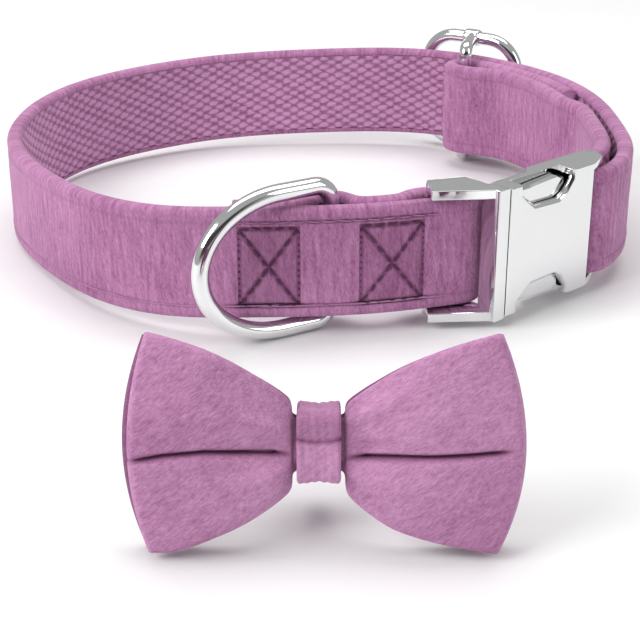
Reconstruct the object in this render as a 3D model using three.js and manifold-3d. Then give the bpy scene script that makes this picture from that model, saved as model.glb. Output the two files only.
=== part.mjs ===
// Pet bow tie collar: a one inch velvet strap on nylon webbing with a metal side release
// buckle, a leash ring and a slider, and a two layer velvet bow tie that stands in front of it.
// Millimetres, +Z up. The bow's side, -Y, is the front.
import * as THREE from 'three';
import Module from 'manifold-3d';
import { LoftGeometry } from 'three/addons/geometries/LoftGeometry.js';
import { mergeVertices } from 'three/addons/utils/BufferGeometryUtils.js';

const wasm = await Module();
wasm.setup();

// Strap
const strapHeight = 25;
const velvetWall = 1.9;
const webbingWall = 1.7;
const edgeRoll = 1.3;
const edgeChamfer = 0.5;
const clearance = 0.3;
const loopRadius = 72;
const outerStep = 6.5;
const frontStep = 2.8;
const returnSlack = 1;
const tailStep = 14;

// Buckle
const buckleRail = 2.2;
const bucklePlay = 0.5;
const buckleBodyDepth = 5.2;
const buckleBodyLength = 3.3;
const maleBarWidth = 9;
const maleBarThick = 2.2;
const maleBarPlay = 0.3;
const bodyReach = 7.4;
const bodyProud = 10.6;
const railTipReach = 5.2;
const railTipProud = 6.1;
const railTipDepth = 4.2;
const plateDepth = 6.2;
const plateWall = 1.5;
const plateStep = 0.4;
const plateEndBlock = 3.6;
const plateEndBack = 5.2;
const plateEndProud = 3.8;
const notchDepth = 5.8;
const prongThick = 3.2;
const femaleBarRadius = 1.3;
const earDepth = 8.2;
const earReach = 7.2;

// Leash ring
const ringWire = 1.95;
const ringPlay = 1;
const ringRise = 0.4;
const ringReach = 31;
const ringLegLength = 12;
const ringCorner = 4;
const ringPocketGap = 0.7;
const ringRestSwing = 23;

// Slider
const sliderWire = 1.8;
const sliderPlay = 1.2;
const sliderRise = 0.9;
const sliderWidth = 32;
const sliderCorner = 9;
const sliderSleeve = 0.6;
const sliderSleeveLength = 4.8;

// Bow tie
const bowWidth = 67;
const bowHeight = 35.6;
const bowThick = 3.2;
const bowPuff = 3.6;
const bowCrease = 1.8;
const bowTipRound = 0.12;
const bowEdgeThin = 0.6;
const bowPuffFall = 0.25;
const bowSamples = 12;
const backBowSink = 1;
const backBowLeft = 1.4;
const backBowRight = 0.2;
const backBowPuff = 0.85;
const knotWall = 1.6;
const knotWidth = 7.2;
const knotHeight = 12.8;
const knotWaist = 0.5;
const knotCorner = 1.8;
const elasticWall = 1.2;
const elasticWidth = 6;
const elasticHeight = 9.6;
const elasticCorner = 2;
const elasticDrop = 3;
const strapPass = 6.2;
const bowLean = 15;
const bowDistance = 73;
const bowAside = 2.3;

// Facets: sides round a wire, stations along the wires and bands
const wireSides = 10;
const rodSides = 12;
const ringSteps = 72;
const sliderSteps = 56;
const bandSteps = 32;

// Where things sit round the loop, in degrees from +X, counterclockwise seen from above
const tailTurn = 256;
const ringTurn = 274.6;
const maleTurn = 297.5;
const femaleTurn = 328.7;
const sliderRingTurn = 54;
const sliderBarTurn = 50.5;
const returnEndTurn = 18;

// Loop outline: reach is a share of the loop radius, lift a share of the hardware's stand
const loopShape = [
  { turn: 0, reach: 1.045, lift: 1.0 },
  { turn: 30, reach: 1.062, lift: 1.0 },
  { turn: 60, reach: 1.035, lift: 0.98 },
  { turn: 90, reach: 0.958, lift: 0.82 },
  { turn: 120, reach: 1.0, lift: 0.55 },
  { turn: 150, reach: 1.06, lift: 0.3 },
  { turn: 180, reach: 1.025, lift: 0.15 },
  { turn: 210, reach: 0.957, lift: 0.25 },
  { turn: 240, reach: 0.975, lift: 0.7 },
  { turn: 262, reach: 0.928, lift: 1.0 },
  { turn: 280, reach: 0.912, lift: 1.0 },
  { turn: 300, reach: 0.94, lift: 1.0 },
  { turn: 332, reach: 1.088, lift: 1.0 },
];

// Wing outline from the knot outwards: out is a share of the half width, top and bottom of the
// half height, puff of the bow's puff, crease of its middle fold and ply of its thickness
const leftWing = [
  { out: 0.15, top: 0.44, bottom: 0.45, puff: 0.25, crease: 1.0, ply: 1 },
  { out: 0.335, top: 0.7, bottom: 0.69, puff: 0.75, crease: 0.9, ply: 1 },
  { out: 0.53, top: 0.89, bottom: 0.845, puff: 1.0, crease: 0.6, ply: 1 },
  { out: 0.72, top: 1.0, bottom: 0.96, puff: 0.95, crease: 0.3, ply: 1 },
  { out: 0.88, top: 1.06, bottom: 0.99, puff: 0.8, crease: 0.1, ply: 1 },
  { out: 0.925, top: 1.065, bottom: 0.99, puff: 0.72, crease: 0, ply: 0.6 },
];
const rightWing = [
  { out: 0.15, top: 0.41, bottom: 0.48, puff: 0.25, crease: 1.0, ply: 1 },
  { out: 0.33, top: 0.66, bottom: 0.73, puff: 0.75, crease: 0.9, ply: 1 },
  { out: 0.5, top: 0.825, bottom: 0.845, puff: 1.0, crease: 0.6, ply: 1 },
  { out: 0.7, top: 0.95, bottom: 0.93, puff: 0.95, crease: 0.3, ply: 1 },
  { out: 0.94, top: 1.045, bottom: 0.995, puff: 0.8, crease: 0.1, ply: 1 },
  { out: 1.0, top: 1.045, bottom: 0.985, puff: 0.72, crease: 0, ply: 0.6 },
];

function surface(color, roughness, metalness) {
  return new THREE.MeshStandardMaterial({ color, roughness, metalness });
}

// Notch and sprung button, as shares of the plate's length and of the notch's depth
const notchShape = [
  [0.15, -0.2], [0.15, 0.4], [0.3, 0.95], [0.58, 1], [0.66, 0.8], [0.74, 0.35], [0.75, -0.2],
];
const buttonShape = [[0.19, 0.4], [0.32, 0.28], [0.62, 0.2], [0.7, 0.42], [0.7, 1.1], [0.19, 1.1]];

const velvetColour = surface(0xa77098, 0.9, 0);
const bowColour = surface(0xb27ba3, 0.9, 0);
const webbingColour = surface(0xb07ba1, 0.85, 0);
const elasticColour = surface(0x814b72, 0.8, 0);
const chromeColour = surface(0xd4d5d6, 0.14, 1);

const up = new THREE.Vector3(0, 0, 1);
const layerThick = velvetWall + clearance + webbingWall;
const layerPitch = layerThick + clearance;
const railStand = buckleRail + bucklePlay;
const sliderStand = 2 * sliderWire + sliderPlay + sliderSleeve - sliderRise;
const ringStand = 2 * ringWire + ringPlay - ringRise;
const hardwareStand = Math.max(railStand, sliderStand, ringStand);
const buckleHeight = strapHeight + 2 * railStand;

// Helpers
function toDegrees(length) {
  return THREE.MathUtils.radToDeg(length / loopRadius);
}

function cyclic(table, turn, column) {
  const angle = THREE.MathUtils.euclideanModulo(turn, 360);
  const count = table.length;
  let row = count - 1;
  while (row > 0 && table[row].turn > angle) row -= 1;
  const at = (k) => {
    const lap = Math.floor((row + k) / count);
    const entry = table[THREE.MathUtils.euclideanModulo(row + k, count)];
    return { turn: entry.turn + 360 * lap, value: entry[column] };
  };
  const [before, start, end, after] = [at(-1), at(0), at(1), at(2)];
  const span = end.turn - start.turn;
  const share = (angle - start.turn) / span;
  const slopeIn = (end.value - before.value) / (end.turn - before.turn) * span;
  const slopeOut = (after.value - start.value) / (after.turn - start.turn) * span;
  const bend = end.value - start.value;
  const cubic = slopeIn + slopeOut - 2 * bend;
  const square = 3 * bend - 2 * slopeIn - slopeOut;
  return start.value + share * (slopeIn + share * (square + share * cubic));
}

function loopPoint(turn, inset = 0) {
  const spot = (angle) => {
    const reach = loopRadius * cyclic(loopShape, angle, 'reach');
    const radians = THREE.MathUtils.degToRad(angle);
    const height = hardwareStand * cyclic(loopShape, angle, 'lift') + strapHeight / 2;
    return new THREE.Vector3(reach * Math.cos(radians), reach * Math.sin(radians), height);
  };
  const heading = spot(turn + 1).sub(spot(turn - 1)).setZ(0).normalize();
  const inward = new THREE.Vector3().crossVectors(up, heading);
  return { place: spot(turn).addScaledVector(inward, inset), heading, inward };
}

function frameAt(turn, inset) {
  const { place, heading, inward } = loopPoint(turn, inset);
  const basis = new THREE.Matrix4().makeBasis(heading, inward, up);
  return basis.setPosition(place);
}

function solidOf(geometry) {
  const bare = new THREE.BufferGeometry().copy(geometry);
  bare.deleteAttribute('normal');
  bare.deleteAttribute('uv');
  const merged = mergeVertices(bare, 1e-4);
  const solid = new wasm.Manifold(new wasm.Mesh({
    numProp: 3,
    vertProperties: new Float32Array(merged.attributes.position.array),
    triVerts: new Uint32Array(merged.index.array),
  }));
  return solid;
}

function geometryOf(solid) {
  const mesh = solid.getMesh();
  const geometry = new THREE.BufferGeometry();
  geometry.setAttribute('position', new THREE.Float32BufferAttribute(mesh.vertProperties, 3));
  geometry.setIndex(new THREE.Uint32BufferAttribute(mesh.triVerts, 1));
  geometry.computeVertexNormals();
  return geometry;
}

function prism(outline, low, high, matrix) {
  const shape = new THREE.Shape(outline.map(([x, y]) => new THREE.Vector2(x, y)));
  const geometry = new THREE.ExtrudeGeometry(shape, { depth: high - low, bevelEnabled: false });
  return solidOf(geometry.translate(0, 0, low).applyMatrix4(matrix));
}

function wallPrism(outline, near, far, matrix) {
  const shape = new THREE.Shape(outline.map(([x, z]) => new THREE.Vector2(x, z)));
  const geometry = new THREE.ExtrudeGeometry(shape, { depth: far - near, bevelEnabled: false });
  geometry.rotateX(Math.PI / 2).translate(0, far, 0);
  return solidOf(geometry.applyMatrix4(matrix));
}

function rectangle(left, right, low, high) {
  return [[left, low], [right, low], [right, high], [left, high]];
}

function roundedRectangle(half, rise, corner) {
  const outline = new THREE.Path();
  outline.moveTo(half, corner - rise);
  outline.lineTo(half, rise - corner);
  outline.absarc(half - corner, rise - corner, corner, 0, Math.PI / 2, false);
  outline.absarc(corner - half, rise - corner, corner, Math.PI / 2, Math.PI, false);
  outline.absarc(corner - half, corner - rise, corner, Math.PI, 1.5 * Math.PI, false);
  outline.absarc(half - corner, corner - rise, corner, 1.5 * Math.PI, 2 * Math.PI, false);
  return outline;
}

function spaced(outline, count) {
  return outline.getSpacedPoints(count).slice(0, count);
}

function closedLoft(sections) {
  const geometry = new LoftGeometry([...sections, sections[0]]);
  return solidOf(geometry);
}

function named(name, geometry, material) {
  const mesh = new THREE.Mesh(geometry, material);
  mesh.name = name;
  return mesh;
}

// Strap route
const maleSpread = maleBarThick / 2 + maleBarPlay + layerThick / 2;
const femaleSpread = femaleBarRadius + clearance + layerThick / 2;
const sliderSpread = sliderWire + clearance + layerThick / 2;
const ringSpread = 2 * (ringWire + ringPocketGap) + layerThick;
const sliderBarInset = layerPitch + sliderSpread;
const foldReach = maleBarWidth / 2 - maleBarThick / 2 + clearance;
const maleFoldTurn = maleTurn + toDegrees(foldReach);

function ease(distance, near, far) {
  return 1 - THREE.MathUtils.smoothstep(Math.abs(distance), near, far);
}

function frontInset(turn) {
  const fromRing = THREE.MathUtils.degToRad(turn - ringTurn) * loopRadius;
  const fromBar = THREE.MathUtils.degToRad(turn - maleTurn) * loopRadius;
  const pocket = (ringSpread - layerPitch) * ease(fromRing, ringWire, 3.8 * ringWire);
  const nearBar = ease(fromBar, maleBarWidth / 2 + frontStep, maleBarWidth + frontStep);
  const frame = (2 * maleSpread - layerPitch) * nearBar;
  return layerPitch + pocket + frame;
}

function returnInset(turn) {
  const fromSlider = THREE.MathUtils.degToRad(turn - sliderBarTurn) * loopRadius;
  const fromFemale = THREE.MathUtils.degToRad(turn + 360 - femaleTurn) * loopRadius;
  const beforeTail = Math.max(0, THREE.MathUtils.degToRad(returnEndTurn - turn) * loopRadius);
  const close = layerPitch + returnSlack;
  const atFemale = (2 * femaleSpread - close) * ease(fromFemale, 0, loopRadius / 3);
  const overTail = (2 * layerPitch - close) * ease(beforeTail, tailStep / 4, tailStep);
  const atSlider = sliderBarInset + sliderSpread - 2 * layerPitch;
  const opened = Math.max(atFemale, overTail);
  return close + opened + atSlider * ease(fromSlider, sliderWire, 4 * layerPitch);
}

function run(from, to, inset, step) {
  const length = THREE.MathUtils.degToRad(Math.abs(to - from)) * loopRadius;
  const count = Math.max(2, Math.ceil(length / step));
  const places = [];
  for (let i = 0; i <= count; i += 1) {
    const turn = THREE.MathUtils.lerp(from, to, i / count);
    places.push(loopPoint(turn, inset(turn)).place);
  }
  return places;
}

// A half turn round a bar: ahead is 1 where it bulges along the loop's heading, side is 1 where it
// starts on the inner side
function fold(turn, inset, radius, ahead, side) {
  const { place, heading, inward } = loopPoint(turn, inset);
  const steps = 8;
  const places = [];
  for (let i = 1; i < steps; i += 1) {
    const angle = Math.PI * i / steps;
    places.push(place.clone()
      .addScaledVector(inward, side * radius * Math.cos(angle))
      .addScaledVector(heading, ahead * radius * Math.sin(angle)));
  }
  return places;
}

function strapRoute() {
  const frontRun = run(tailTurn, maleFoldTurn, frontInset, frontStep);
  const outerRun = run(maleFoldTurn, femaleTurn - 360, () => 0, outerStep);
  const returnRun = run(femaleTurn - 360, sliderBarTurn, returnInset, outerStep);
  const tailRun = run(sliderBarTurn, returnEndTurn, () => layerPitch, outerStep);
  const maleFold = fold(maleFoldTurn, maleSpread, maleSpread, 1, 1);
  const femaleFold = fold(femaleTurn, femaleSpread, femaleSpread, -1, -1);
  const sliderFold = fold(sliderBarTurn, sliderBarInset, sliderSpread, 1, 1);
  return [...frontRun, ...maleFold, ...outerRun, ...femaleFold, ...returnRun, ...sliderFold, ...tailRun];
}

function ribbon(route, profile) {
  const sections = route.map((place, i) => {
    const before = route[Math.max(i - 1, 0)];
    const after = route[Math.min(i + 1, route.length - 1)];
    const heading = after.clone().sub(before).setZ(0).normalize();
    const right = new THREE.Vector3().crossVectors(heading, up);
    return profile.map(([side, height]) => place.clone()
      .addScaledVector(right, side)
      .addScaledVector(up, height));
  });
  return new LoftGeometry(sections, { capStart: true, capEnd: true });
}

function velvetProfile() {
  const half = layerThick / 2;
  const edge = strapHeight / 2;
  const wall = -half + velvetWall;
  return [
    [half, edgeChamfer - edge], [half - edgeChamfer, -edge],
    [edgeChamfer - half, -edge], [-half, edgeChamfer - edge],
    [-half, edge - edgeChamfer], [edgeChamfer - half, edge],
    [half - edgeChamfer, edge], [half, edge - edgeChamfer],
    [half, edge - edgeRoll], [wall, edge - edgeRoll],
    [wall, edgeRoll - edge], [half, edgeRoll - edge],
  ];
}

function webbingProfile() {
  const half = layerThick / 2;
  const edge = strapHeight / 2 - edgeRoll - clearance;
  return [[half, -edge], [half - webbingWall, -edge], [half - webbingWall, edge], [half, edge]];
}

// Leash ring, drawn in its own plane: along runs from the straight bar to the round end
function leashRing() {
  const rise = strapHeight / 2 + ringPlay + ringWire;
  const outline = new THREE.Path();
  outline.moveTo(0, ringCorner - rise);
  outline.lineTo(0, rise - ringCorner);
  outline.absarc(ringCorner, rise - ringCorner, ringCorner, Math.PI, Math.PI / 2, true);
  outline.lineTo(ringLegLength, rise);
  const bow = ringReach - ringLegLength;
  outline.absellipse(ringLegLength, 0, bow, rise, Math.PI / 2, -Math.PI / 2, true);
  outline.lineTo(ringCorner, -rise);
  outline.absarc(ringCorner, ringCorner - rise, ringCorner, -Math.PI / 2, -Math.PI, true);
  const spots = spaced(outline, ringSteps).map((spot) => new THREE.Vector3(-spot.x, 0, spot.y));
  const swing = new THREE.Matrix4().makeRotationZ(THREE.MathUtils.degToRad(ringRestSwing));
  const raised = new THREE.Matrix4().makeTranslation(0, 0, ringRise);
  const place = frameAt(ringTurn, ringSpread / 2).multiply(raised).multiply(swing);
  return geometryOf(wireTube(spots, ringWire).transform(place.toArray()));
}

// Slider: a rounded wire frame outside the strap and a crimped bar inside it
function wireTube(spots, radius) {
  const sections = spots.map((spot, i) => {
    const before = spots[(i + spots.length - 1) % spots.length];
    const after = spots[(i + 1) % spots.length];
    const along = after.clone().sub(before).normalize();
    const across = new THREE.Vector3(0, 1, 0).cross(along).normalize();
    const other = new THREE.Vector3().crossVectors(along, across);
    return Array.from({ length: wireSides }, (_, k) => {
      const angle = 2 * Math.PI * k / wireSides;
      return spot.clone().addScaledVector(across, radius * Math.cos(angle))
        .addScaledVector(other, radius * Math.sin(angle));
    });
  });
  return closedLoft(sections);
}

function slider() {
  const rise = strapHeight / 2 + sliderPlay + sliderWire;
  const half = sliderWidth / 2 - sliderWire;
  const outline = roundedRectangle(half, rise, sliderCorner);
  const spots = spaced(outline, sliderSteps).map((spot) => new THREE.Vector3(spot.x, 0, spot.y));
  const raised = new THREE.Matrix4().makeTranslation(0, 0, sliderRise);
  const outside = -layerThick / 2 - clearance - sliderWire;
  const frame = frameAt(sliderRingTurn, outside).multiply(raised);
  let solid = wireTube(spots, sliderWire).transform(frame.toArray());
  const bar = loopPoint(sliderBarTurn, sliderBarInset).place.addScaledVector(up, sliderRise);
  for (const side of [1, -1]) {
    const sleeveRadius = sliderWire + sliderSleeve;
    const sleeve = new THREE.CylinderGeometry(sleeveRadius, sleeveRadius, sliderSleeveLength, rodSides);
    sleeve.rotateZ(Math.PI / 2).translate(0, 0, side * rise).applyMatrix4(frame);
    solid = solid.add(solidOf(sleeve));
    const grip = new THREE.Vector3(0, 0, side * rise).applyMatrix4(frame);
    const bend = bar.clone().addScaledVector(up, side * rise);
    solid = solid.add(rod(grip, bend, sliderWire));
  }
  const low = bar.clone().addScaledVector(up, -rise);
  const high = bar.clone().addScaledVector(up, rise);
  solid = solid.add(rod(low, high, sliderWire));
  return geometryOf(solid);
}

function rod(from, to, radius) {
  const cap = new THREE.SphereGeometry(radius, rodSides, rodSides * 2 / 3);
  const line = new THREE.LineCurve3(from, to);
  const circle = new THREE.Shape().absarc(0, 0, radius, 0, 2 * Math.PI);
  const sweep = { steps: 1, curveSegments: rodSides / 2, extrudePath: line };
  const tube = new THREE.ExtrudeGeometry(circle, sweep);
  return solidOf(tube).add(solidOf(cap.translate(to.x, to.y, to.z)));
}

// Buckle, in plan: the body and the plate share a straight line that stands proud of the strap
const maleFrame = frameAt(maleTurn, maleSpread);
const femaleFrame = frameAt(femaleTurn, femaleSpread);
const bodyCorner = new THREE.Vector3(bodyReach, -bodyProud, 0).applyMatrix4(maleFrame);
const plateCorner = new THREE.Vector3(-plateEndBack, -plateEndProud, 0).applyMatrix4(femaleFrame);
const plateHeading = plateCorner.clone().sub(bodyCorner).normalize();
const plateInward = new THREE.Vector3().crossVectors(up, plateHeading).normalize();
const buckleFrame = new THREE.Matrix4().makeBasis(plateHeading, plateInward, up).setPosition(bodyCorner);
const plateLeft = buckleBodyLength + clearance;
const plateRight = bodyCorner.distanceTo(plateCorner);
const plateLength = plateRight - plateLeft;

function toBuckle(x, y, frame) {
  const spot = new THREE.Vector3(x, y, 0).applyMatrix4(frame).applyMatrix4(buckleFrame.clone().invert());
  return [spot.x, spot.y];
}

function notchOutline(side) {
  const top = buckleHeight / 2 - plateStep;
  const at = (share, depth) => [plateLeft + share * plateLength, side * (top - depth * notchDepth)];
  return notchShape.map(([share, depth]) => at(share, depth));
}

function buttonOutline(side) {
  const top = buckleHeight / 2 - plateStep;
  const at = (share, depth) => [plateLeft + share * plateLength, side * (top - depth * notchDepth)];
  return buttonShape.map(([share, depth]) => at(share, depth));
}

function bothEnds(outline, half, thick, frame) {
  return prism(outline, half - thick, half, frame).add(prism(outline, -half, thick - half, frame));
}

function buckleMale() {
  const half = buckleHeight / 2;
  const body = rectangle(0, buckleBodyLength, 0, buckleBodyDepth);
  let solid = prism(body, -half, half, buckleFrame);
  const barHalf = maleBarWidth / 2;
  const edge = maleBarThick / 4;
  const tip = [
    [barHalf, 2 * edge], [-barHalf, 2 * edge], [-barHalf - 2 * edge, -2 * edge],
    [-railTipReach, railTipDepth - railTipProud], [-railTipReach - 2 * edge, -railTipProud],
  ].map(([x, y]) => toBuckle(x, y, maleFrame));
  const rail = [[buckleBodyLength / 2, 0], [buckleBodyLength / 2, buckleBodyDepth], ...tip];
  solid = solid.add(bothEnds(rail, half, buckleRail, buckleFrame));
  const bar = [
    [-barHalf, edge], [-barHalf, -edge], [edge - barHalf, -2 * edge], [barHalf - edge, -2 * edge],
    [barHalf, -edge], [barHalf, edge], [barHalf - edge, 2 * edge], [edge - barHalf, 2 * edge],
  ];
  solid = solid.add(prism(bar, edge - half, half - edge, maleFrame));
  return geometryOf(solid.add(prongs()));
}

// The two sprung prongs run inside the plate and show as buttons in its notches
function prongs() {
  const gap = plateWall + clearance;
  const outer = buckleHeight / 2 - plateStep - plateWall - clearance;
  const reach = plateLeft + 0.7 * plateLength;
  const arm = rectangle(buckleBodyLength / 2, reach, gap, plateDepth - gap);
  let solid = bothEnds(arm, outer, prongThick, buckleFrame);
  for (const side of [1, -1]) {
    solid = solid.add(wallPrism(buttonOutline(side), gap, plateDepth - gap, buckleFrame));
  }
  return solid;
}

function buckleFemale() {
  const half = buckleHeight / 2 - plateStep;
  const endTaper = plateEndBlock - femaleBarRadius;
  const shell = prism([
    [plateLeft, 0], [plateRight, 0], [plateRight - 0.17 * endTaper, 0.2 * plateDepth],
    [plateRight - endTaper / 2, 0.42 * plateDepth], [plateRight - endTaper, 0.7 * plateDepth],
    [plateRight - endTaper, plateDepth], [plateLeft, plateDepth],
  ], -half, half, buckleFrame);
  const open = plateLeft - plateWall;
  const innerSpan = rectangle(open, plateRight - plateEndBlock, plateWall, plateDepth - plateWall);
  const cavity = prism(innerSpan, plateWall - half, half - plateWall, buckleFrame);
  let solid = shell.subtract(cavity);
  for (const side of [1, -1]) {
    solid = solid.subtract(wallPrism(notchOutline(side), -1, plateDepth - plateWall, buckleFrame));
  }
  const ear = [
    [plateRight - 0.8 * plateEndBlock, 0.1 * plateDepth], [plateRight, 0],
    [plateRight + 0.8 * earReach, 0.3 * earDepth],
    [plateRight + earReach, 0.7 * earDepth], [plateRight + 0.93 * earReach, earDepth],
    [plateLeft + 0.5 * plateLength, earDepth], [plateLeft + 0.36 * plateLength, 0.87 * plateDepth],
    [plateRight - 0.8 * plateEndBlock, 0.8 * plateDepth],
  ];
  solid = solid.add(bothEnds(ear, half, buckleRail - plateStep, buckleFrame));
  const axisLength = 2 * half - buckleRail / 2;
  const axis = new THREE.CylinderGeometry(femaleBarRadius, femaleBarRadius, axisLength, rodSides);
  solid = solid.add(solidOf(axis.rotateX(Math.PI / 2).applyMatrix4(femaleFrame)));
  return geometryOf(solid);
}

// Bow tie layers: two plies of velvet pressed flat, pinched at the knot
function bowLayer(layer) {
  const half = bowWidth / 2;
  const pinch = (knotHeight / 2 - knotWall - clearance) / (bowHeight / 2);
  const out = (knotWidth / 2 + clearance) / half;
  const waist = { out, top: pinch, bottom: pinch, puff: 0, crease: 0, ply: 1 };
  const arm = (wing, reach) => [waist, ...wing].map((row) => ({ ...row, x: reach * row.out }));
  const left = arm(leftWing, -half - layer.left).reverse();
  const right = arm(rightWing, half + layer.right);
  const rows = [...left, { ...waist, x: 0 }, ...right];
  const curve = (spot) => new THREE.CatmullRomCurve3(rows.map(spot));
  const outline = curve((row) => new THREE.Vector3(row.x, row.top, row.bottom));
  const relief = curve((row) => new THREE.Vector3(row.puff, row.crease, row.ply));
  const steps = 2 * (rows.length - 1);
  const sections = [];
  for (let i = 0; i <= steps; i += 1) {
    const edge = outline.getPoint(i / steps);
    const fold = relief.getPoint(i / steps);
    const puff = layer.puff * bowPuff * Math.max(0, fold.x);
    const crease = layer.crease * bowCrease * Math.max(0, fold.y);
    const halfPly = bowThick / 2 * Math.min(1, fold.z);
    const face = (back) => Array.from({ length: bowSamples + 1 }, (_, k) => {
      const share = -1 + 2 * k / bowSamples;
      const span = share > 0 ? edge.y * (bowHeight / 2 - layer.sink) : edge.z * bowHeight / 2;
      const squeeze = 1 - bowTipRound * share ** 2 * (edge.x / half) ** 2;
      const thick = halfPly * (1 - (1 - bowEdgeThin) * Math.abs(share) ** 3);
      const valley = back > 0 ? 0 : crease * Math.max(0, 1 - Math.abs(share) * 3);
      const bulge = valley - puff * (1 - bowPuffFall * share ** 2);
      return new THREE.Vector3(edge.x * squeeze, layer.centre + bulge + back * thick, share * span);
    });
    sections.push([...face(1), ...face(-1).reverse()]);
  }
  return geometryOf(solidOf(new LoftGeometry(sections, { capStart: true, capEnd: true })));
}

// A closed band in the bow's side plane: depth runs back, rise runs up
function band({ centre, drop, depth, rise, wall, width, corner, waist }) {
  const spots = spaced(roundedRectangle(depth, rise, corner), bandSteps);
  const columns = [-1, 0, 1];
  const sections = spots.map((spot, i) => {
    const after = spots[(i + 1) % bandSteps];
    const before = spots[(i + bandSteps - 1) % bandSteps];
    const along = after.clone().sub(before).normalize();
    const sideOf = (offset, trim) => columns.map((column) => {
      const out = offset - trim * (1 - Math.abs(column));
      const back = centre + spot.x + along.y * out;
      return new THREE.Vector3(column * width / 2, back, spot.y - drop - along.x * out);
    });
    return [...sideOf(-wall / 2, 0), ...sideOf(wall / 2, waist).reverse()];
  });
  return geometryOf(closedLoft(sections));
}

function bowTie() {
  const centre = bowThick / 2 + clearance;
  const stack = bowThick + 2 * clearance;
  const elasticDepth = (strapPass + elasticWall) / 2;
  const front = { centre: -centre, left: 0, right: 0, sink: 0, puff: 1, crease: 1 };
  const back = {
    centre, left: backBowLeft, right: backBowRight, sink: backBowSink, puff: backBowPuff, crease: 0,
  };
  const knot = {
    centre: 0, drop: 0, depth: stack + knotWall / 2, rise: (knotHeight - knotWall) / 2,
    wall: knotWall, width: knotWidth, corner: knotCorner, waist: knotWaist,
  };
  const elastic = {
    centre: stack + knotWall + clearance + elasticWall / 2 + elasticDepth,
    drop: elasticDrop, depth: elasticDepth, rise: elasticHeight / 2,
    wall: elasticWall, width: elasticWidth, corner: elasticCorner, waist: 0,
  };
  const bow = new THREE.Group();
  bow.add(named('bow_front', bowLayer(front), bowColour));
  bow.add(named('bow_back', bowLayer(back), bowColour));
  bow.add(named('bow_knot', band(knot), bowColour));
  bow.add(named('elastic_loop', band(elastic), elasticColour));
  bow.rotation.x = THREE.MathUtils.degToRad(-bowLean);
  bow.position.set(bowAside, -loopRadius - bowDistance, 0);
  return settled(bow);
}

function settled(group) {
  group.updateMatrixWorld(true);
  group.position.z -= new THREE.Box3().setFromObject(group, true).min.z;
  return group;
}

function collar() {
  const group = new THREE.Group();
  const route = strapRoute();
  group.add(named('velvet_strap', ribbon(route, velvetProfile()), velvetColour));
  group.add(named('webbing_strap', ribbon(route, webbingProfile()), webbingColour));
  group.add(named('leash_ring', leashRing(), chromeColour));
  group.add(named('slider', slider(), chromeColour));
  group.add(named('buckle_male', buckleMale(), chromeColour));
  group.add(named('buckle_female', buckleFemale(), chromeColour));
  return settled(group);
}

// The whole part, with its origin at the middle of its footprint
const part = new THREE.Group();
part.add(collar(), bowTie());
part.updateMatrixWorld(true);
const bounds = new THREE.Box3().setFromObject(part, true);
const middle = bounds.getCenter(new THREE.Vector3());
part.position.set(-middle.x, -middle.y, -bounds.min.z);
part.updateMatrixWorld(true);

export default part;
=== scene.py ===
import bpy
import bmesh
import numpy as np
from math import sin, cos, pi, radians, degrees, floor, sqrt, hypot, exp
from mathutils import Vector, Matrix


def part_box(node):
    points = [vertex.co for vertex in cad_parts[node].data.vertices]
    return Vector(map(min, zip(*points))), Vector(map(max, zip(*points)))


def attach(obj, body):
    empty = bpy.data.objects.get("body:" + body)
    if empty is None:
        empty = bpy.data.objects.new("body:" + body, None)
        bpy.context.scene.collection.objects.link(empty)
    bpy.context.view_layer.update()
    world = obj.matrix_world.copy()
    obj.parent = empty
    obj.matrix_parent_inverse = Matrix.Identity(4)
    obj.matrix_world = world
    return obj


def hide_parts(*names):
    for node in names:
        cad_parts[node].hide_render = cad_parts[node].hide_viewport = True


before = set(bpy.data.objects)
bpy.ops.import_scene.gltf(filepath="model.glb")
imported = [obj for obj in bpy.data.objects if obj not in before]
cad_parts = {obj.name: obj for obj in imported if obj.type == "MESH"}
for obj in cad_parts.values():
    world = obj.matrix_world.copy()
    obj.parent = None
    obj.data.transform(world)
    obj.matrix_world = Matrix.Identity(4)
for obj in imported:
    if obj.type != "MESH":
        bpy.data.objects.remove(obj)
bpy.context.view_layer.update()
mm = 0.001
rng = np.random.default_rng(7)

# the strap's own numbers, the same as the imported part's, in millimetres
strap = {
    "height": 25.0,
    "velvetWall": 1.9,
    "webbingWall": 1.7,
    "roll": 1.3,
    "clearance": 0.3,
    "radius": 72.0,
    "stand": 4.5,
    "centre": (-0.654, 40.59),   # the loop's middle in the row frame
    "step": 1.1,
    "returnSlack": 1.0,
    "tailStep": 14.0,
    "frontStep": 2.8,
    "edgeRound": 1.55,   # the velvet's rolled edge
    "faceRows": 47,
    "routeStep": 1.0,
}
turns = {
    "tail": 256.0,
    "ring": 274.6,
    "male": 297.5,
    "female": 328.7,
    "sliderRing": 54.0,
    "sliderBar": 50.5,
    "returnEnd": 18.0,
}
loopShape = [
    (0, 1.045, 1.0), (30, 1.062, 1.0), (60, 1.035, 0.98), (90, 0.958, 0.82), (120, 1.0, 0.55),
    (150, 1.06, 0.3), (180, 1.025, 0.15), (210, 0.957, 0.25), (240, 0.975, 0.7), (262, 0.928, 1.0),
    (280, 0.912, 1.0), (300, 0.94, 1.0), (332, 1.088, 1.0),
]
hardware = {
    "maleBarThick": 2.2,
    "maleBarWidth": 9.0,
    "maleBarPlay": 0.3,
    "femaleBar": 1.3,
    "ringWire": 1.95,
    "ringPocketGap": 0.7,
    "sliderWire": 1.8,
}
thick = strap["velvetWall"] + strap["clearance"] + strap["webbingWall"]
pitch = thick + strap["clearance"]


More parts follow.
